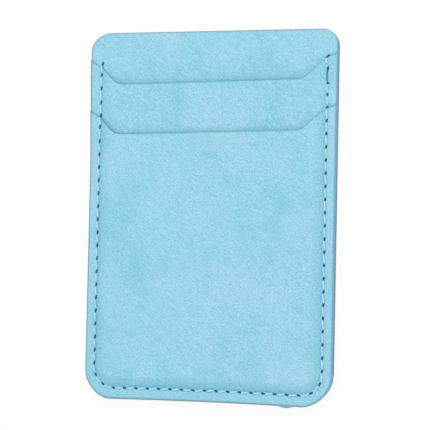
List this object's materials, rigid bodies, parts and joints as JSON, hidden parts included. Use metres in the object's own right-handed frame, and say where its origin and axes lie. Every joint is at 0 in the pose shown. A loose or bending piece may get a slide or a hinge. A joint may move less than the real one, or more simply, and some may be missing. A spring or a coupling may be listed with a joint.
{
  "type": "stick-on phone card holder",
  "caption": "Flat leather card holder with stacked card pockets sewn to a hemmed back panel, on an adhesive pad that sticks it to the back of a phone.",
  "frame": {"origin": "middle of the adhesive pad's underside", "axes": "+Z out of the front of the pockets, -Z out of the adhesive face, +Y towards the pockets' mouths, +X to the right seen from the front"},
  "size_m": [0.0667, 0.0972, 0.0058],
  "materials": {
    "blue_leather": "fine pored, satin",
    "pale_thread": "twisted thread",
    "lining_fabric": "matte",
    "board": "matte",
    "pad_film": "adhesive film, satin"
  },
  "bodies": {
    "root": {"adhesive_pad": "pad_film", "back_lining": "lining_fabric", "stiffener_board": "board", "back_panel": "blue_leather", "upper_pocket": "blue_leather", "lower_pocket": "blue_leather", "needle_thread": "pale_thread", "bobbin_thread": "pale_thread"}
  },
  "joints": []
}
